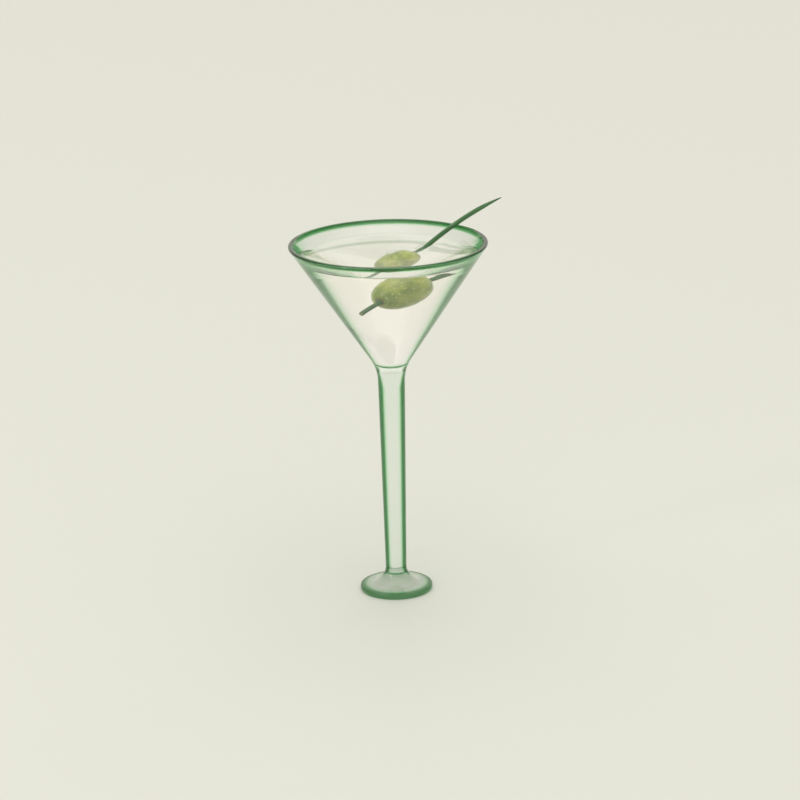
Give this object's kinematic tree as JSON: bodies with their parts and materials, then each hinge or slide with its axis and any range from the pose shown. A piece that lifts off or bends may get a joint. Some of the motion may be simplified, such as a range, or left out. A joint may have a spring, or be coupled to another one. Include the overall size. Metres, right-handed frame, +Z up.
{
  "type": "martini cocktail",
  "caption": "Stemmed glass with a V-shaped bowl, filled to just under the rim with a clear drink, with an olive on a bowed pick that leans on the rim",
  "frame": {"origin": "centre of the foot's flat underside, on the glass's own axis", "axes": "+Z up along the glass's axis, -Y towards the side that is drunk from, where the pick's lower end stands, and the pick's tip points to +X +Y"},
  "size_m": [0.1129, 0.1127, 0.1979],
  "materials": {
    "glass_clear": "clear polished green-tinted glass, darker along its edges",
    "drink_clear": "clear drink with a very pale straw tint",
    "olive_green": "wet green olive skin",
    "pick_wood": "smooth bamboo, stained dark green"
  },
  "bodies": {
    "root": {"glass": "glass_clear", "drink": "drink_clear", "olive": "olive_green", "pick": "pick_wood"}
  },
  "joints": []
}
